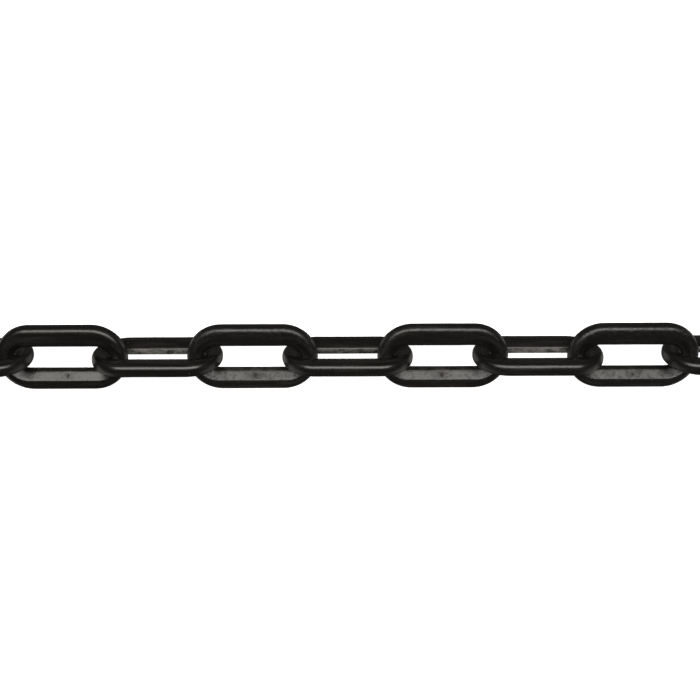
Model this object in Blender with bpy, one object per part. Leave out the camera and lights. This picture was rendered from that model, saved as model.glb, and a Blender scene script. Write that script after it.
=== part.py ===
"""A straight length of black plastic chain, sold by the metre, lying on the floor.

Every link is one moulded oval ring. Neighbours cross at a right angle, so on a floor
the links lean 45 degrees, one to each side in turn, each on the flank of its lower bar.
The chain runs along X with link_01 at the -X end and its middle link at X = 0.
"""

import math

import bmesh
import bpy

# The run of chain
LINK_COUNT = 25
QUARTER_TURN = math.radians(90)
CONTACT_GAP = 0.0006

# One link, in metres: the bars are its two straight sides, the crowns its round ends
LINK_LENGTH = 0.0542
LINK_WIDTH = 0.0289
BAR_ACROSS = 0.0093
CROWN_ACROSS = 0.0071
WIRE_THICKNESS = 0.0061

# The wire's section. Outside, its side bows out between two cut corners; inside, it
# narrows from its full thickness to a flat inner face.
OUTER_FACE = 0.0016
SIDE_BOW = 0.0006
CORNER_CUT = 0.0007
FRONT_EASE = 0.0009
FRONT_BOW = 0.0001
INNER_BEVEL = 0.0045
INNER_FACE = 0.0026

# Edges that turn more than this look crisp, and the others look round
CRISP_ANGLE = math.radians(40)

# Each crown turns through half a circle in this many equal steps, an even number
CROWN_STEPS = 10

# Black plastic, a little warm, with a dull shine
BLACK = (0.018, 0.0165, 0.0155, 1.0)
ROUGHNESS = 0.32

# The outline and the window in it are slots with round ends
OUTER_RADIUS = LINK_WIDTH / 2
WINDOW_RADIUS = LINK_WIDTH / 2 - BAR_ACROSS
OUTER_CENTRE = LINK_LENGTH / 2 - OUTER_RADIUS
WINDOW_CENTRE = LINK_LENGTH / 2 - CROWN_ACROSS - WINDOW_RADIUS

# In a taut chain each crown lies against the next one's, inside each other's windows.
# A link turns about the middle of its neighbour's crown, and that point is its origin.
PITCH = LINK_LENGTH - 2 * CROWN_ACROSS - CONTACT_GAP
ORIGIN_TO_CENTRE = PITCH - (LINK_LENGTH - CROWN_ACROSS) / 2

# Leaning half a quarter turn, a link rests on its lower bar
LEAN = QUARTER_TURN / 2


def section_corners(across):
    """The corners of the wire's section, from its outer face round to its inner face and back."""
    half_across, half_thick = across / 2, WIRE_THICKNESS / 2
    side = half_across - SIDE_BOW
    shoulder = half_thick - FRONT_BOW
    upper = [
        (half_across, OUTER_FACE / 2),
        (side, shoulder - CORNER_CUT),
        (side - CORNER_CUT, shoulder),
        (side - CORNER_CUT - FRONT_EASE, half_thick),
        (INNER_BEVEL - half_across, half_thick),
        (-half_across, INNER_FACE / 2),
    ]
    return upper + [(outward, -upward) for outward, upward in reversed(upper)]


def wire_ring(end, step):
    """The section's points in space where the crown at this end (1 or -1) has its corner."""
    step_angle = math.pi / CROWN_STEPS
    angle = (step + 0.5) * step_angle
    # The crown's flats touch its circles, so its corners lie a little outside them
    stretch = 1 / math.cos(step_angle / 2)
    along, aside = math.sin(angle) * stretch, math.cos(angle) * stretch
    outer = (OUTER_CENTRE + OUTER_RADIUS * along, OUTER_RADIUS * aside)
    inner = (WINDOW_CENTRE + WINDOW_RADIUS * along, WINDOW_RADIUS * aside)
    # From 0 where the bar ends to 1 at the tip of the crown
    into_crown = min(step, CROWN_STEPS - 1 - step) / (CROWN_STEPS / 2 - 1)
    across = BAR_ACROSS + (CROWN_ACROSS - BAR_ACROSS) * into_crown
    points = []
    for outward, upward in section_corners(across):
        share = 0.5 + outward / across
        x = inner[0] + (outer[0] - inner[0]) * share
        y = inner[1] + (outer[1] - inner[1]) * share
        points.append((end * x + ORIGIN_TO_CENTRE, end * y, upward))
    return points


def link_mesh(material):
    """One link, lying in its own XY plane, as rings of points joined by quads."""
    bm = bmesh.new()
    rings = []
    for end in (1, -1):
        for step in range(CROWN_STEPS):
            rings.append([bm.verts.new(point) for point in wire_ring(end, step)])
    for ring, following in zip(rings, rings[1:] + rings[:1]):
        for k in range(len(ring)):
            after = (k + 1) % len(ring)
            bm.faces.new((ring[k], following[k], following[after], ring[after]))
    bmesh.ops.recalc_face_normals(bm, faces=bm.faces)
    mesh = bpy.data.meshes.new("link")
    bm.to_mesh(mesh)
    bm.free()
    mesh.shade_smooth()
    mesh.set_sharp_from_angle(angle=CRISP_ANGLE)
    mesh.materials.append(material)
    return mesh


def black_plastic():
    material = bpy.data.materials.new("black_plastic")
    material.use_nodes = True
    shader = material.node_tree.nodes["Principled BSDF"]
    shader.inputs["Base Color"].default_value = BLACK
    shader.inputs["Roughness"].default_value = ROUGHNESS
    shader.inputs["Metallic"].default_value = 0.0
    return material


def build_chain():
    """Hangs each link on the one before it, a quarter turn round from it."""
    mesh = link_mesh(black_plastic())
    half_run = (LINK_COUNT - 1) * PITCH / 2
    # The cut corner's middle, out from the chain's line and up from the link's plane
    corner_out = LINK_WIDTH / 2 - SIDE_BOW - CORNER_CUT / 2
    corner_up = WIRE_THICKNESS / 2 - FRONT_BOW - CORNER_CUT / 2
    before = None
    for number in range(1, LINK_COUNT + 1):
        link = bpy.data.objects.new(f"link_{number:02d}", mesh)
        bpy.context.scene.collection.objects.link(link)
        if before is None:
            height = corner_out * math.sin(LEAN) + corner_up * math.cos(LEAN)
            link.location = (-half_run - ORIGIN_TO_CENTRE, 0, height)
            link.rotation_euler = (-LEAN, 0, 0)
        else:
            link.parent = before
            link.location = (PITCH, 0, 0)
            turn = QUARTER_TURN if number % 2 == 0 else -QUARTER_TURN
            link.rotation_euler = (turn, 0, 0)
        before = link


def main():
    for obj in list(bpy.data.objects):
        bpy.data.objects.remove(obj)
    build_chain()


if __name__ == "__main__":
    main()
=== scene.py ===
"""Dresses a straight length of black plastic chain and sets it on a pale studio floor.

One moulded link is modelled with Blender's own tools, in its own XY plane with its
length along X, and copied to every place in the frame. Sizes are in metres.
"""

import math
import random

import bpy
from bpy.props import FloatProperty, FloatVectorProperty, IntProperty, PointerProperty
from mathutils import Matrix, Vector


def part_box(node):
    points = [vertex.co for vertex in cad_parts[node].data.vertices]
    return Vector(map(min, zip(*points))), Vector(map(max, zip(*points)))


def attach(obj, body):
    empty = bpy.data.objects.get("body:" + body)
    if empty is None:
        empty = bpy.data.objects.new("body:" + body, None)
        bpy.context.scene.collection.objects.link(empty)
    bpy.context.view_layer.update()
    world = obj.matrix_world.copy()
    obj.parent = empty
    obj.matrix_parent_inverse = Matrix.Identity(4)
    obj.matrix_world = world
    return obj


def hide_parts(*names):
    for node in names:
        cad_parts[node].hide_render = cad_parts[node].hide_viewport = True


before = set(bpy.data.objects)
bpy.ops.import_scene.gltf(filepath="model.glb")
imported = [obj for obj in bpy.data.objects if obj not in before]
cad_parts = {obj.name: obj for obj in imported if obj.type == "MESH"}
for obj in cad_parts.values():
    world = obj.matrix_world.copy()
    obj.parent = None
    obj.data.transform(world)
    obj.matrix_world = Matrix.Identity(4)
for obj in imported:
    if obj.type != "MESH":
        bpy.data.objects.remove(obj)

bl_info = {
    "name": "Plastic chain",
    "version": (1, 0, 0),
    "blender": (4, 5, 0),
    "location": "3D View > Sidebar > Chain",
    "description": "Models a length of moulded plastic chain and lights it in a small studio",
    "category": "Object",
}

# What the frame says: the links' names in order, their length and the height of the chain's line
LINK_NAMES = sorted(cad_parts)
FIRST_LOW, FIRST_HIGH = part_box(LINK_NAMES[0])
FRAME_LENGTH = FIRST_HIGH.x - FIRST_LOW.x
LINE_HEIGHT = (FIRST_LOW.z + FIRST_HIGH.z) / 2

# Neighbours cross at a right angle, so each lies half of that from the floor
LEAN = math.radians(45)
HALF_TURN = math.radians(180)

# Points nearer than this count as one
MERGE = 0.00001

# The outer side's curve: its steps on each side of a narrow land, which is this share of it,
# and its fullness, where half is a plain ellipse
OUTER_STEPS = 9
OUTER_LAND = 0.03
OUTER_FULLNESS = 0.55

# The surface counts as on the line where the mould closes up to this steepness, and the
# fin there ends this far before the crowns
MOULD_LINE_REACH = 0.35
FLASH_FADE = 0.006

# The gate mark, in radii: how far the mesh is made finer, then the reach and the rise of
# its lip, its crater and its pit
GATE_FINE = 5
GATE_LIP = (1.7, 0.12)
GATE_CRATER = (0.95, -0.40)
GATE_PIT = (0.55, -0.25)

# Where the gate mark lies along its bar, from and to, and how far from the window it may
# reach: in crisp edges on an inner face, or as a share of the inner slope
GATE_ALONG = (-0.001, 0.003)
GATE_REACH_EDGES = 2
GATE_REACH_SLOPE = 0.85

# How the marks differ from link to link, from and to: which part of the patterns a link
# shows, how mottled it is, and how torn its inner faces are, which also sets how much
# painted sheen they carry. The links that are turned half round on the floor come first,
# then the others.
TURNED_LINKS = {"link_seed": (0.0, 50.0), "link_mottle": (0.0, 0.6), "link_scuffs_and_sheen": (0.2, 1.0)}
OTHER_LINKS = {"link_seed": (0.0, 50.0), "link_mottle": (0.3, 1.0), "link_scuffs_and_sheen": (0.0, 0.3)}

# Patterns on the plastic, in repeats a metre
FLOW_ALONG = 55.0
FLOW_ACROSS = 750.0
HOLLOWS = 330.0
PATCHES = 900.0
SCRATCHES_ALONG = 260.0
SCRATCHES_ACROSS = 2600.0
BLOTCHES = 500.0
SWIRLS = 700.0
SPECKS = 330.0

# Where each pattern starts to show and where it is full: levels of its noise, or for the
# inner face metres from the window
PATCH_LEVELS = (0.50, 0.62)
TORN_LEVELS = (0.42, 0.60)
RAY_LEVELS = (0.36, 0.60)
SWIRL_LEVELS = (0.35, 0.65)
SPECK_LEVELS = (0.085, 0.055)
FLOW_LEVELS = (0.45, 0.75)
INNER_FACE_EDGE = (0.00030, 0.00005)

# Depths of the fine relief, in metres
HOLLOW_DEPTH = 0.00014
FLOW_DEPTH = 0.000012
PATCH_DEPTH = 0.000028
SCUFF_DEPTH = 0.000015
BURST_DEPTH = 0.000080

# The burst round the gate starts this far from it, in metres, and is full this near
BURST_EDGE = (0.0056, 0.0010)

# The cooling waves only sink the surface, and the flash only raises it: the size of each
# pattern, and the level of it that moves nothing
WAVE_SIZE = 0.011
WAVE_LEVEL = 1.2
FLASH_SIZE = 0.0009
FLASH_LEVEL = 0.0

# Soft edges in the room, as parts of a direction along the chain, back and up: the glow
# stands beside the chain and low, but not behind it, and the back of the room is paler
GLOW_ALONG = (0.42, 0.66)
GLOW_BACK = (0.70, 0.50)
GLOW_UP = (0.10, -0.30)
PALE_BACK = (0.0, 0.6)

FLOOR_ROUGHNESS = 0.9
FLOOR_GLOW = 0.92


class ChainLinkSizes(bpy.types.PropertyGroup):
    """The size of one link, and of the section of its wire."""

    length: FloatProperty(
        name="Link length",
        description="Outside length of one link",
        default=FRAME_LENGTH,
        unit="LENGTH",
    )
    width: FloatProperty(
        name="Link width",
        description="Outside width of one link",
        default=0.0289,
        unit="LENGTH",
    )
    bar_across: FloatProperty(
        name="Bar across",
        description="Size of the wire across a straight side, in the link's plane",
        default=0.0086,
        unit="LENGTH",
    )
    crown_across: FloatProperty(
        name="Crown across",
        description="Size of the wire across a round end, in the link's plane",
        default=0.0071,
        unit="LENGTH",
    )
    thickness: FloatProperty(
        name="Wire thickness",
        description="Size of the wire square to the link's plane",
        default=0.0061,
        unit="LENGTH",
    )
    outer_round: FloatProperty(
        name="Outer round",
        description="Depth over which the outer side curves round to the front and the back",
        default=0.0028,
        unit="LENGTH",
    )
    inner_bevel: FloatProperty(
        name="Inner bevel",
        description="Width of the slope from the front to the inner face",
        default=0.0038,
        unit="LENGTH",
    )
    inner_face: FloatProperty(
        name="Inner face",
        description="Height of the flat that faces the window",
        default=0.0024,
        unit="LENGTH",
    )
    inner_turn: FloatProperty(
        name="Inner turn",
        description="How far the inner face's two edges stand in and out, so that it leaves the mould",
        default=0.00036,
        unit="LENGTH",
    )
    inner_lift: FloatProperty(
        name="Inner lift",
        description="How far the upper bar's inner face is raised, and the lower bar's lowered",
        default=0.0006,
        unit="LENGTH",
    )
    crisp_edge: FloatProperty(
        name="Crisp edges",
        description="Rounding of the edges round the window",
        default=0.00022,
        unit="LENGTH",
    )
    mesh_step: FloatProperty(
        name="Mesh step",
        description="Distance between the mesh's points on flat stretches",
        default=0.00095,
        unit="LENGTH",
    )


class ChainPlasticLooks(bpy.types.PropertyGroup):
    """How the moulded plastic looks."""

    skin: FloatVectorProperty(
        name="Skin",
        description="Colour of the plastic",
        default=(0.0042, 0.0036, 0.0030),
        subtype="COLOR",
        min=0.0,
        max=1.0,
    )
    # Also the colour of the painted sheen on the torn inner faces, standing in for light they catch
    scuffed_and_sheen: FloatVectorProperty(
        name="Scuffed",
        description="Colour where the plastic is scuffed or torn",
        default=(0.090, 0.083, 0.076),
        subtype="COLOR",
        min=0.0,
        max=1.0,
    )
    roughness: FloatProperty(
        name="Roughness",
        description="Roughness of the smooth skin",
        default=0.24,
        min=0.0,
        max=1.0,
        subtype="FACTOR",
    )
    wave_depth: FloatProperty(
        name="Wave depth",
        description="Depth of the shallow waves that cooling leaves in the surface",
        default=0.00010,
        unit="LENGTH",
    )
    flash_height: FloatProperty(
        name="Flash height",
        description="Height of the ragged fin that the mould leaves along the inner edges",
        default=0.00022,
        unit="LENGTH",
    )
    gate_size: FloatProperty(
        name="Gate mark",
        description="Radius of the torn mark where the plastic entered the mould",
        default=0.0009,
        unit="LENGTH",
    )
    variety: IntProperty(
        name="Variety",
        description="Number that sets how the marks differ from link to link",
        default=147953,
    )


class ChainStudio(bpy.types.PropertyGroup):
    """The floor, the light and the camera."""

    floor: FloatVectorProperty(
        name="Floor",
        description="Colour of the floor",
        default=(0.86, 0.86, 0.86),
        subtype="COLOR",
        min=0.0,
        max=1.0,
    )
    floor_size: FloatProperty(
        name="Floor size",
        description="Side of the square floor",
        default=6.0,
        unit="LENGTH",
    )
    softbox_width: FloatProperty(
        name="Softbox width",
        description="Size of the overhead light along the chain",
        default=1.2,
        unit="LENGTH",
    )
    softbox_depth: FloatProperty(
        name="Softbox depth",
        description="Size of the overhead light across the chain",
        default=0.55,
        unit="LENGTH",
    )
    softbox_height: FloatProperty(
        name="Softbox height",
        description="Height of the overhead light above the floor",
        default=0.9,
        unit="LENGTH",
    )
    softbox_forward: FloatProperty(
        name="Softbox forward",
        description="How far the overhead light stands towards the camera",
        default=0.15,
        unit="LENGTH",
    )
    light: FloatVectorProperty(
        name="Light",
        description="Colour of the light, a little warm",
        default=(1.0, 0.97, 0.925),
        subtype="COLOR",
        min=0.0,
        max=1.0,
    )
    softbox_power: FloatProperty(
        name="Softbox power",
        description="Power of the overhead light, in watts",
        default=12.0,
        min=0.0,
    )
    room: FloatProperty(
        name="Room",
        description="Brightness of the dim room before the chain; it is a quarter more behind it",
        default=0.068,
        min=0.0,
    )
    side_glow: FloatProperty(
        name="Side glow",
        description="Extra brightness of the room towards both ends of the chain",
        default=0.55,
        min=0.0,
    )
    elevation: FloatProperty(
        name="Camera elevation",
        description="Angle of the camera above the floor",
        default=math.radians(71.6),
        subtype="ANGLE",
    )
    distance: FloatProperty(
        name="Camera distance",
        description="Distance from the camera to the chain",
        default=0.45,
        unit="LENGTH",
    )
    roll: FloatProperty(
        name="Camera roll",
        description="Turn of the camera about the way that it looks",
        default=math.radians(-0.21),
        subtype="ANGLE",
    )
    aim_right: FloatProperty(
        name="Aim to the right",
        description="How far the camera aims to the right of the chain's middle",
        default=0.0010,
        unit="LENGTH",
    )
    aim_up: FloatProperty(
        name="Aim above",
        description="How far up the picture the camera aims from the chain's line",
        default=0.0025,
        unit="LENGTH",
    )
    frame_width: FloatProperty(
        name="Frame width",
        description="Width that the picture covers at the chain",
        default=0.2903,
        unit="LENGTH",
    )


def pick_only(obj):
    """Selects this object alone and makes it the active one."""
    bpy.ops.object.select_all(action="DESELECT")
    obj.select_set(True)
    bpy.context.view_layer.objects.active = obj


def pick_points(obj, wanted):
    """In edit mode, selects the points whose place passes the test."""
    bpy.ops.mesh.select_mode(type="VERT")
    bpy.ops.mesh.select_all(action="DESELECT")
    bpy.ops.object.mode_set(mode="OBJECT")
    for vertex in obj.data.vertices:
        vertex.select = wanted(vertex.co)
    bpy.ops.object.mode_set(mode="EDIT")


def store(link, name, kind, values):
    """Keeps one value or vector for each point of the mesh, for the material to read."""
    attribute = link.data.attributes.new(name, kind, "POINT")
    if kind == "FLOAT_VECTOR":
        attribute.data.foreach_set("vector", [part for value in values for part in value])
    else:
        attribute.data.foreach_set("value", values)


def displace(link, name, texture, depth, middle, group, direction="NORMAL"):
    """Moves the surface by a texture, or evenly without one, as far as the group says."""
    modifier = link.modifiers.new(name, "DISPLACE")
    modifier.direction = direction
    modifier.texture = texture
    modifier.texture_coords = "LOCAL"
    modifier.mid_level = middle
    modifier.strength = depth
    modifier.vertex_group = group
    bpy.ops.object.modifier_apply(modifier=name)


def smooth_step(value, start, end):
    """Rises smoothly from 0 at the start to 1 at the end."""
    share = min(max((value - start) / (end - start), 0.0), 1.0)
    return share * share * (3 - 2 * share)


def from_slot(point, half_straight):
    """Distance in the link's plane from the line that a slot with round ends is drawn round."""
    beyond = max(abs(point.x) - half_straight, 0.0)
    return math.hypot(beyond, point.y)


class LinkShape:
    """The places that follow from the sizes of one link."""

    def __init__(self, sizes):
        self.sizes = sizes
        self.outer_radius = sizes.width / 2
        self.window_radius = sizes.width / 2 - sizes.bar_across
        self.outer_centre = sizes.length / 2 - self.outer_radius
        self.window_centre = sizes.length / 2 - sizes.crown_across - self.window_radius
        self.bar_middle = (self.outer_radius + self.window_radius) / 2

    def depth(self, point):
        """How far a point lies inside the link's outline."""
        return self.outer_radius - from_slot(point, self.outer_centre)

    def from_window(self, point):
        """How far a point lies outside the window."""
        return from_slot(point, self.window_centre) - self.window_radius

    def bevel_corners(self):
        """Where the inner slope starts and ends: outward from the wire's middle, and up."""
        half_across = self.sizes.bar_across / 2
        start = (self.sizes.inner_bevel - half_across, self.sizes.thickness / 2)
        end = (-half_across, self.sizes.inner_face / 2)
        return start, end


def slope_inner_side(shape):
    """Cuts both inner corners off the flat section along the slope to the inner face."""
    start, end = shape.bevel_corners()
    run, rise = end[0] - start[0], end[1] - start[1]
    for side in (1, -1):
        bpy.ops.mesh.select_all(action="SELECT")
        bpy.ops.mesh.bisect(
            plane_co=(0, shape.bar_middle + start[0], side * start[1]),
            plane_no=Vector((0, rise, -side * run)).normalized(),
            clear_outer=True,
            threshold=MERGE / 10,
        )


def round_corners(section, shape):
    """Rounds the outer side to half an ellipse, and takes the sharpness off the inner edges."""
    outermost = shape.bar_middle + shape.sizes.bar_across / 2
    # Flattened until it is as deep as it is high, the outer side takes plain round corners
    flatten = 2 * shape.sizes.outer_round / shape.sizes.thickness
    bpy.ops.mesh.select_all(action="SELECT")
    bpy.ops.transform.resize(value=(1, 1, flatten), center_override=(0, 0, 0))
    pick_points(section, lambda point: point.y > outermost - MERGE)
    bpy.ops.mesh.bevel(
        offset=shape.sizes.outer_round * (1 - OUTER_LAND),
        segments=OUTER_STEPS,
        profile=OUTER_FULLNESS,
        affect="VERTICES",
    )
    bpy.ops.mesh.select_all(action="SELECT")
    bpy.ops.transform.resize(value=(1, 1, 1 / flatten), center_override=(0, 0, 0))

    def on_slope_end(point):
        return any(
            abs(point.y - shape.bar_middle - outward) < MERGE and abs(abs(point.z) - up) < MERGE
            for outward, up in shape.bevel_corners()
        )

    pick_points(section, on_slope_end)
    bpy.ops.mesh.bevel(offset=shape.sizes.crisp_edge, segments=2, affect="VERTICES")


def divide_long_sides(section, step):
    """Splits each long side of the section's outline into pieces of about one step."""
    bpy.ops.mesh.select_all(action="SELECT")
    bpy.ops.mesh.delete(type="ONLY_FACE")
    bpy.ops.object.mode_set(mode="OBJECT")
    mesh = section.data
    lengths = {}
    for edge in mesh.edges:
        ends = [mesh.vertices[i].co.copy() for i in edge.vertices]
        middle = (ends[0] + ends[1]) / 2
        pieces = round((ends[0] - ends[1]).length / step)
        if pieces > 1:
            lengths[tuple(middle)] = pieces
    bpy.ops.object.mode_set(mode="EDIT")
    bpy.ops.mesh.select_mode(type="EDGE")
    for middle, pieces in lengths.items():
        bpy.ops.mesh.select_all(action="DESELECT")
        bpy.ops.object.mode_set(mode="OBJECT")
        for edge in mesh.edges:
            a, b = (mesh.vertices[i].co for i in edge.vertices)
            edge.select = ((a + b) / 2 - Vector(middle)).length < MERGE
        bpy.ops.object.mode_set(mode="EDIT")
        bpy.ops.mesh.subdivide(number_cuts=pieces - 1)
    bpy.ops.mesh.select_mode(type="VERT")


def sweep_quarter(shape):
    """Draws the section out along half a bar and spins it round half a crown."""
    bar_steps = round(shape.outer_centre / shape.sizes.mesh_step)
    crown_steps = round(math.radians(90) * shape.bar_middle / shape.sizes.mesh_step)
    bpy.ops.mesh.select_all(action="SELECT")
    for _ in range(bar_steps):
        bpy.ops.mesh.extrude_edges_move(
            TRANSFORM_OT_translate={"value": (shape.outer_centre / bar_steps, 0, 0)}
        )
    bpy.ops.mesh.spin(
        steps=crown_steps,
        angle=math.radians(90),
        center=(shape.outer_centre, 0, 0),
        axis=(0, 0, 1),
    )


def slim_crown(link, shape):
    """Moves the inner part of the section out along X, so that the crown is slimmer than the bar."""
    reach = shape.window_centre - shape.outer_centre
    sizes = shape.sizes
    flat_start = sizes.outer_round
    flat_end = sizes.bar_across - sizes.inner_bevel - sizes.crisp_edge
    bpy.ops.object.mode_set(mode="OBJECT")
    depths = sorted({round(shape.depth(vertex.co), 6) for vertex in link.data.vertices})
    bpy.ops.object.mode_set(mode="EDIT")
    for depth in depths:
        share = (depth - flat_start) / (flat_end - flat_start)
        move = reach * min(max(share, 0.0), 1.0)
        if move == 0:
            continue

        def on_rail(point, in_crown):
            in_place = (point.x > shape.outer_centre - MERGE) == in_crown
            return in_place and abs(shape.depth(point) - depth) < MERGE / 10

        # The crown's points first: they move on, and the bar's then stretch up to them
        pick_points(link, lambda point: on_rail(point, True))
        bpy.ops.transform.translate(value=(move, 0, 0))
        pick_points(link, lambda point: on_rail(point, False))
        bpy.ops.transform.resize(
            value=(1 + move / shape.outer_centre, 1, 1), center_override=(0, 0, 0)
        )


def turn_inner_face(link, shape):
    """Turns and lifts the inner side. The link is moulded leaning, and has to leave the mould."""
    sizes = shape.sizes
    moves = (
        ("Y", 2, sizes.inner_face / 2, -sizes.inner_turn),
        ("Z", 1, shape.window_radius, sizes.inner_lift),
    )
    for direction, axis, full, depth in moves:
        for side in (1, -1):
            group = link.vertex_groups.new(name=f"turned_{direction}_{side}")
            for point, outward in zip(link.data.vertices, link.data.attributes["from_window"].data):
                inward = 1 - min(max(outward.value / sizes.inner_bevel, 0.0), 1.0)
                share = min(max(side * point.co[axis] / full, 0.0), 1.0)
                group.add([point.index], inward * share, "REPLACE")
        for side in (1, -1):
            name = f"turned_{direction}_{side}"
            displace(link, name, None, side * depth, 0.0, name, direction)
    link.vertex_groups.clear()


def make_link(shape):
    """One whole link, flat in the XY plane round the origin."""
    bpy.ops.object.select_all(action="DESELECT")
    bpy.ops.mesh.primitive_plane_add(
        size=1, location=(0, shape.bar_middle, 0), rotation=(0, math.radians(90), 0)
    )
    link = bpy.context.active_object
    link.name = "link_pattern"
    # Stood on edge, the plane has its own X upright and its own Y across the bar
    link.scale = (shape.sizes.thickness, shape.sizes.bar_across, 1)
    bpy.ops.object.transform_apply(location=True, rotation=True, scale=True)
    bpy.ops.object.mode_set(mode="EDIT")
    slope_inner_side(shape)
    round_corners(link, shape)
    divide_long_sides(link, shape.sizes.mesh_step)
    sweep_quarter(shape)
    slim_crown(link, shape)
    bpy.ops.object.mode_set(mode="OBJECT")
    mirror = link.modifiers.new("other_quarters", "MIRROR")
    mirror.use_axis = (True, True, False)
    mirror.merge_threshold = MERGE
    bpy.ops.object.modifier_apply(modifier=mirror.name)
    bpy.ops.object.mode_set(mode="EDIT")
    bpy.ops.mesh.select_all(action="SELECT")
    bpy.ops.mesh.normals_make_consistent(inside=False)
    bpy.ops.object.mode_set(mode="OBJECT")
    bpy.ops.object.shade_smooth()
    store(link, "from_window", "FLOAT", [shape.from_window(point.co) for point in link.data.vertices])
    turn_inner_face(link, shape)
    return link


def mark_places(link, shape):
    """Notes where each point lies on the link, and how near to the line where the mould closes."""
    points = link.data.vertices
    store(link, "link_place", "FLOAT_VECTOR", [point.co.copy() for point in points])
    # The mould opens straight up from the floor, so its halves meet where the link is steepest
    opening = Vector((0, math.sin(LEAN), math.cos(LEAN)))
    nearness = [
        1 - smooth_step(abs(point.normal @ opening), 0.0, MOULD_LINE_REACH) for point in points
    ]
    store(link, "mould_line", "FLOAT", nearness)

    skin = link.vertex_groups.new(name="skin")
    flash = link.vertex_groups.new(name="flash")
    outward = [item.value for item in link.data.attributes["from_window"].data]
    for point, near, distance in zip(points, nearness, outward):
        skin.add([point.index], 1 - near, "REPLACE")
        # The fin stands on the bars alone: on the crowns the next link would rub it off
        bar_end = shape.outer_centre
        on_bar = 1 - smooth_step(abs(point.co.x), bar_end - FLASH_FADE, bar_end)
        if distance < shape.sizes.crisp_edge and near > 0:
            flash.add([point.index], near * on_bar, "REPLACE")


def clouds(name, size, depth):
    texture = bpy.data.textures.new(name, "CLOUDS")
    texture.noise_scale = size
    texture.noise_depth = depth
    return texture


def press_gate_mark(link, centre, face_up, radius):
    """Presses a small torn crater into the face round this place."""
    bpy.ops.object.mode_set(mode="EDIT")
    pick_points(link, lambda point: (point - centre).length < GATE_FINE * radius)
    bpy.ops.mesh.subdivide(number_cuts=3)
    for reach, rise in (GATE_LIP, GATE_CRATER, GATE_PIT):
        pick_points(link, lambda point: (point - centre).length < reach * radius)
        bpy.ops.transform.translate(value=face_up * radius * rise)
    bpy.ops.object.mode_set(mode="OBJECT")


def place_link(pattern, name, number, shape, looks, textures, chance):
    """A copy of the pattern with marks of its own, in the frame's place for this link."""
    pick_only(pattern)
    bpy.ops.object.duplicate()
    link = bpy.context.active_object
    link.name = f"{name}_moulding"
    link.data.name = link.name
    turned = number % 2 == 1

    start, end = shape.bevel_corners()
    turn, lift = shape.sizes.inner_turn, shape.sizes.inner_lift
    if turned:
        # On the edge between the lower bar's inner face and its hidden slope
        centre = Vector((chance.uniform(*GATE_ALONG), turn - shape.window_radius, -end[1] - lift))
        face_up = Vector((0, 1, 0))
    else:
        # In the middle of the lower bar's upper slope
        end = (end[0] + turn, end[1] - lift)
        outward, up = (start[0] + end[0]) / 2, (start[1] + end[1]) / 2
        centre = Vector((chance.uniform(*GATE_ALONG), -shape.bar_middle - outward, up))
        face_up = Vector((0, start[1] - end[1], start[0] - end[0])).normalized()
    # The faintest mark is half as large as the strongest
    strength = chance.uniform(0.0, 1.0)
    press_gate_mark(link, centre, face_up, looks.gate_size * (0.5 + strength / 2))
    points = link.data.vertices
    store(link, "from_gate", "FLOAT_VECTOR", [point.co - centre for point in points])

    for label, limits in (TURNED_LINKS if turned else OTHER_LINKS).items():
        amount = chance.uniform(*limits)
        store(link, label, "FLOAT", [amount] * len(points))
    # The mark stays on its own face
    edge, slope = shape.sizes.crisp_edge, shape.sizes.inner_bevel
    reach = GATE_REACH_EDGES * edge if turned else GATE_REACH_SLOPE * slope
    near = [item.value < reach for item in link.data.attributes["from_window"].data]
    store(link, "gate_strength", "FLOAT", [strength * is_near for is_near in near])

    low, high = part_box(name)
    # Every link leans alike, and every other one is turned half round on the floor
    link.rotation_euler = (LEAN, 0, HALF_TURN if turned else 0)
    link.location = ((low.x + high.x) / 2, 0, LINE_HEIGHT)
    bpy.ops.object.transform_apply(location=True, rotation=True, scale=True)

    displace(link, "cooling_waves", textures["waves"], looks.wave_depth, WAVE_LEVEL, "skin")
    displace(link, "ragged_flash", textures["flash"], looks.flash_height, FLASH_LEVEL, "flash")
    return link


class NodeKit:
    """Short calls for the nodes of one material, each giving the socket to go on from."""

    def __init__(self, material):
        material.use_nodes = True
        self.nodes = material.node_tree.nodes
        self.links = material.node_tree.links

    def add(self, kind, inputs, output=0, **settings):
        node = self.nodes.new(kind)
        for setting, value in settings.items():
            setattr(node, setting, value)
        for name, value in inputs.items():
            self.feed(node.inputs[name], value)
        return None if output is None else node.outputs[output]

    def feed(self, socket, value):
        if isinstance(value, bpy.types.NodeSocket):
            self.links.new(value, socket)
        else:
            socket.default_value = value

    def stored(self, name, output):
        return self.add("ShaderNodeAttribute", {}, output, attribute_name=name)

    def sum(self, first, second):
        return self.add("ShaderNodeMath", {0: first, 1: second}, operation="ADD")

    def times(self, first, second):
        return self.add("ShaderNodeMath", {0: first, 1: second}, operation="MULTIPLY")

    def larger(self, first, second):
        return self.add("ShaderNodeMath", {0: first, 1: second}, operation="MAXIMUM")

    def rise(self, value, start, end):
        """0 up to the start and 1 from the end, or the other way round if the end is lower."""
        sockets = {"Value": value, "From Min": start, "From Max": end}
        return self.add("ShaderNodeMapRange", sockets, interpolation_type="SMOOTHSTEP")

    def noise(self, place, seed, scale, detail=2.0, roughness=0.5):
        sockets = {"Vector": place, "W": seed, "Scale": scale, "Detail": detail}
        sockets["Roughness"] = roughness
        return self.add("ShaderNodeTexNoise", sockets, noise_dimensions="4D")

    def stretched(self, parts, scales):
        """A place for a pattern that repeats at another rate along each axis."""
        scaled = [self.times(part, scale) for part, scale in zip(parts, scales)]
        return self.add("ShaderNodeCombineXYZ", dict(zip("XYZ", scaled)))

    def bump(self, height, depth, normal):
        sockets = {"Height": height, "Distance": depth}
        if normal is not None:
            sockets["Normal"] = normal
        return self.add("ShaderNodeBump", sockets)


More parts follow.
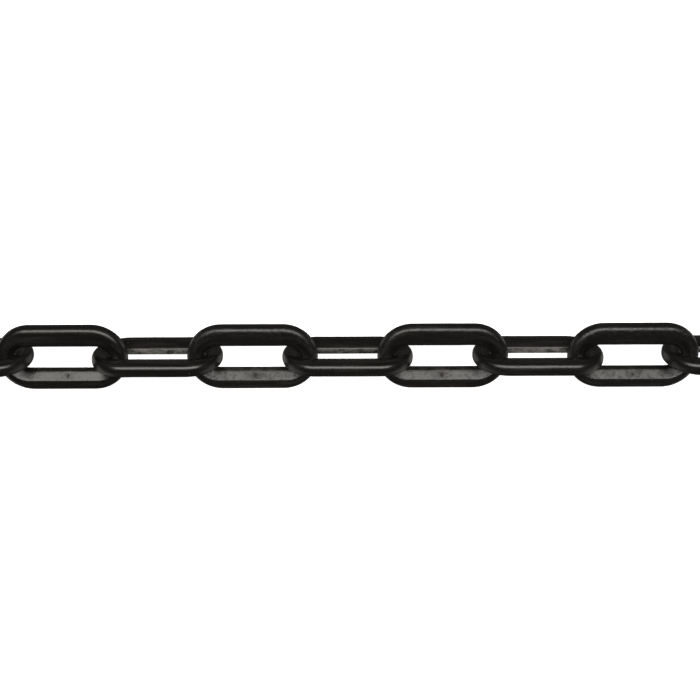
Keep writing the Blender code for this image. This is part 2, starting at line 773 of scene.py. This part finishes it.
def plastic_material(looks):
    """Black plastic: flow lines, mottled patches, torn inner faces painted paler with a painted sheen,
    and the gate's mark.
    """
    material = bpy.data.materials.new("black_plastic")
    kit = NodeKit(material)
    shader = kit.nodes["Principled BSDF"]

    place = kit.stored("link_place", "Vector")
    from_window = kit.stored("from_window", "Fac")
    mould_line = kit.stored("mould_line", "Fac")
    seed = kit.stored("link_seed", "Fac")
    axes = kit.add("ShaderNodeSeparateXYZ", {"Vector": place})
    along, aside, upward = (axes.node.outputs[name] for name in ("X", "Y", "Z"))

    # Faint lines that the flow and the mould leave, long along the wire
    flow_place = kit.stretched(
        (along, aside, from_window), (FLOW_ALONG, FLOW_ALONG, FLOW_ACROSS)
    )
    flow_seed = kit.sum(kit.times(upward, FLOW_ACROSS), seed)
    flow = kit.noise(flow_place, flow_seed, 1.0, detail=1.0)

    # Soft hollows of a few millimetres
    hollows = kit.noise(place, seed, HOLLOWS, detail=1.0)

    # Mottled patches, strongest on some links
    mottle_amount = kit.stored("link_mottle", "Fac")
    patches = kit.rise(kit.noise(place, seed, PATCHES, detail=3.0, roughness=0.6), *PATCH_LEVELS)
    patches = kit.times(patches, mottle_amount)

    # The inner faces, where the mould's halves part, are torn in short lines and painted paler:
    # partly real tearing, partly a painted sheen that stands in for light these faces catch
    scuff_and_sheen_amount = kit.stored("link_scuffs_and_sheen", "Fac")
    inner_face = kit.rise(from_window, *INNER_FACE_EDGE)
    scratch_place = kit.stretched(
        (along, aside, upward), (SCRATCHES_ALONG, SCRATCHES_ALONG, SCRATCHES_ACROSS)
    )
    scratches = kit.noise(scratch_place, seed, 1.0, detail=4.0, roughness=0.7)
    blotches = kit.noise(place, seed, BLOTCHES, detail=3.0, roughness=0.6)
    torn = kit.rise(kit.sum(kit.times(scratches, 0.4), kit.times(blotches, 0.6)), *TORN_LEVELS)
    # Painted sheen mixed with real tearing: the inner faces are made paler where light would catch
    # them
    scuffs_and_sheen = kit.times(kit.times(inner_face, torn), scuff_and_sheen_amount)

    # Round the gate: a pale burst that fades outwards in rays
    from_gate = kit.stored("from_gate", "Vector")
    gate_distance = kit.add("ShaderNodeVectorMath", {0: from_gate}, "Value", operation="LENGTH")
    gate_ray = kit.add("ShaderNodeVectorMath", {0: from_gate}, "Vector", operation="NORMALIZE")
    rays = kit.rise(kit.noise(gate_ray, seed, 4.0, detail=3.0, roughness=0.6), *RAY_LEVELS)
    swirls = kit.rise(kit.noise(place, seed, SWIRLS, detail=2.0), *SWIRL_LEVELS)
    torn_open = kit.times(kit.sum(rays, swirls), 0.6)
    burst = kit.times(kit.rise(gate_distance, *BURST_EDGE), torn_open)
    burst = kit.times(burst, kit.stored("gate_strength", "Fac"))

    # Pale dust and chips
    dust = kit.add(
        "ShaderNodeTexVoronoi",
        {"Vector": place, "W": seed, "Scale": SPECKS, "Randomness": 1.0},
        "Distance",
        voronoi_dimensions="4D",
    )
    specks = kit.rise(dust, *SPECK_LEVELS)

    # How pale each mark is, as a share of the pale colour; on the inner faces this paleness is
    # partly a painted sheen
    paleness = scuffs_and_sheen
    for mark, share in ((burst, 0.8), (specks, 0.7), (kit.rise(flow, *FLOW_LEVELS), 0.08)):
        paleness = kit.larger(paleness, kit.times(mark, share))
    colour = kit.add(
        "ShaderNodeMix",
        {0: paleness, 6: (*looks.skin, 1.0), 7: (*looks.scuffed_and_sheen, 1.0)},
        2,
        data_type="RGBA",
    )
    kit.links.new(colour, shader.inputs["Base Color"])

    # How much rougher than the smoothest skin each pattern is
    roughness = looks.roughness - 0.03
    for pattern, more in (
        (flow, 0.06),
        (mottle_amount, 0.12),
        (patches, 0.18),
        (burst, 0.30),
        (paleness, 0.30),
        (mould_line, 0.10),
    ):
        roughness = kit.sum(roughness, kit.times(pattern, more))
    kit.links.new(roughness, shader.inputs["Roughness"])

    # The mottled links are the wavier ones
    waves = kit.times(hollows, kit.sum(mottle_amount, 0.35))
    normal = None
    for height, depth in (
        (waves, HOLLOW_DEPTH),
        (flow, FLOW_DEPTH),
        (patches, PATCH_DEPTH),
        (scuffs_and_sheen, SCUFF_DEPTH),
        (burst, BURST_DEPTH),
    ):
        normal = kit.bump(height, depth, normal)
    kit.links.new(normal, shader.inputs["Normal"])
    return material


class CHAIN_OT_links(bpy.types.Operator):
    """Models one moulded link and copies it to the place of every link in the frame"""

    bl_idname = "chain.links"
    bl_label = "Make the links"

    def execute(self, context):
        scene = context.scene
        shape = LinkShape(scene.chain_link_sizes)
        looks = scene.chain_plastic_looks
        pattern = make_link(shape)
        pattern.data.materials.append(plastic_material(looks))
        mark_places(pattern, shape)
        textures = {
            "waves": clouds("cooling_waves", WAVE_SIZE, 1),
            "flash": clouds("ragged_flash", FLASH_SIZE, 2),
        }
        chance = random.Random(looks.variety)
        for number, name in enumerate(LINK_NAMES, start=1):
            link = place_link(pattern, name, number, shape, looks, textures, chance)
            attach(link, name)
            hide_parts(name)
        bpy.data.objects.remove(pattern)
        return {"FINISHED"}


def studio_room(scene, studio):
    """A dim room with paler ends for the reflections, and plain white behind the object."""
    world = bpy.data.worlds.new("studio_room")
    kit = NodeKit(world)
    kit.nodes.clear()
    direction = kit.add("ShaderNodeTexCoord", {}, "Generated")
    axes = kit.add("ShaderNodeSeparateXYZ", {"Vector": direction})
    sideways = kit.add("ShaderNodeMath", {0: axes}, operation="ABSOLUTE")
    back, up = axes.node.outputs["Y"], axes.node.outputs["Z"]
    beside = kit.times(kit.rise(sideways, *GLOW_ALONG), kit.rise(back, *GLOW_BACK))
    glow = kit.times(kit.times(beside, kit.rise(up, *GLOW_UP)), studio.side_glow)
    behind = kit.times(kit.rise(back, *PALE_BACK), studio.room / 4)
    strength = kit.sum(glow, kit.sum(behind, studio.room))
    room = kit.add("ShaderNodeBackground", {"Strength": strength})
    backdrop = kit.add("ShaderNodeBackground", {"Color": (1.0, 1.0, 1.0, 1.0)})
    seen = kit.add("ShaderNodeLightPath", {}, "Is Camera Ray")
    mixed = kit.add("ShaderNodeMixShader", {0: seen, 1: room, 2: backdrop})
    kit.add("ShaderNodeOutputWorld", {"Surface": mixed}, None)
    room.node.inputs["Color"].default_value = (*studio.light, 1.0)
    scene.world = world


def floor_material(studio):
    material = bpy.data.materials.new("pale_floor")
    material.use_nodes = True
    shader = material.node_tree.nodes["Principled BSDF"]
    shader.inputs["Base Color"].default_value = (*studio.floor, 1.0)
    shader.inputs["Roughness"].default_value = FLOOR_ROUGHNESS
    shader.inputs["Specular IOR Level"].default_value = 0.0
    shader.inputs["Emission Color"].default_value = (1.0, 1.0, 1.0, 1.0)
    shader.inputs["Emission Strength"].default_value = FLOOR_GLOW
    return material


class CHAIN_OT_studio(bpy.types.Operator):
    """Adds the pale floor, the softbox above it, the dim room and the camera"""

    bl_idname = "chain.studio"
    bl_label = "Make the studio"

    def execute(self, context):
        scene = context.scene
        studio = scene.chain_studio
        bpy.ops.object.select_all(action="DESELECT")
        bpy.ops.mesh.primitive_plane_add(size=studio.floor_size, location=(0, 0, 0))
        floor = context.active_object
        floor.name = "pale_floor"
        floor.data.materials.append(floor_material(studio))
        floor.visible_glossy = False

        place = (0, -studio.softbox_forward, studio.softbox_height)
        bpy.ops.object.light_add(type="AREA", location=place)
        softbox = context.active_object
        softbox.name = "overhead_softbox"
        softbox.data.shape = "RECTANGLE"
        softbox.data.size = studio.softbox_width
        softbox.data.size_y = studio.softbox_depth
        softbox.data.energy = studio.softbox_power
        softbox.data.color = studio.light

        studio_room(scene, studio)
        scene.view_settings.view_transform = "Standard"

        # The camera's own axes: X to the right, Y up the picture, Z back from the chain
        tilt = Matrix.Rotation(math.radians(90) - studio.elevation, 3, "X")
        turn = tilt @ Matrix.Rotation(studio.roll, 3, "Z")
        aim = Vector((studio.aim_right, studio.aim_up, studio.distance))
        bpy.ops.object.camera_add(location=Vector((0, 0, LINE_HEIGHT)) + tilt @ aim)
        camera = context.active_object
        camera.name = "product_camera"
        camera.rotation_euler = turn.to_euler()
        camera.data.lens = camera.data.sensor_width * studio.distance / studio.frame_width
        camera.data.clip_start = 0.01
        scene.camera = camera
        return {"FINISHED"}


class CHAIN_PT_panel(bpy.types.Panel):
    """The chain's sizes, looks and studio"""

    bl_idname = "CHAIN_PT_panel"
    bl_label = "Plastic chain"
    bl_space_type = "VIEW_3D"
    bl_region_type = "UI"
    bl_category = "Chain"

    def draw(self, context):
        layout = self.layout
        for group in ("chain_link_sizes", "chain_plastic_looks", "chain_studio"):
            settings = getattr(context.scene, group)
            box = layout.box()
            for name in settings.bl_rna.properties.keys():
                if name not in ("name", "rna_type"):
                    box.prop(settings, name)
        layout.operator(CHAIN_OT_links.bl_idname)
        layout.operator(CHAIN_OT_studio.bl_idname)


CLASSES = (
    ChainLinkSizes,
    ChainPlasticLooks,
    ChainStudio,
    CHAIN_OT_links,
    CHAIN_OT_studio,
    CHAIN_PT_panel,
)


def register():
    for cls in CLASSES:
        bpy.utils.register_class(cls)
    bpy.types.Scene.chain_link_sizes = PointerProperty(type=ChainLinkSizes)
    bpy.types.Scene.chain_plastic_looks = PointerProperty(type=ChainPlasticLooks)
    bpy.types.Scene.chain_studio = PointerProperty(type=ChainStudio)


def unregister():
    del bpy.types.Scene.chain_studio
    del bpy.types.Scene.chain_plastic_looks
    del bpy.types.Scene.chain_link_sizes
    for cls in reversed(CLASSES):
        bpy.utils.unregister_class(cls)


def main():
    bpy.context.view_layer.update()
    register()
    bpy.ops.chain.links()
    bpy.ops.chain.studio()


if __name__ == "__main__":
    main()
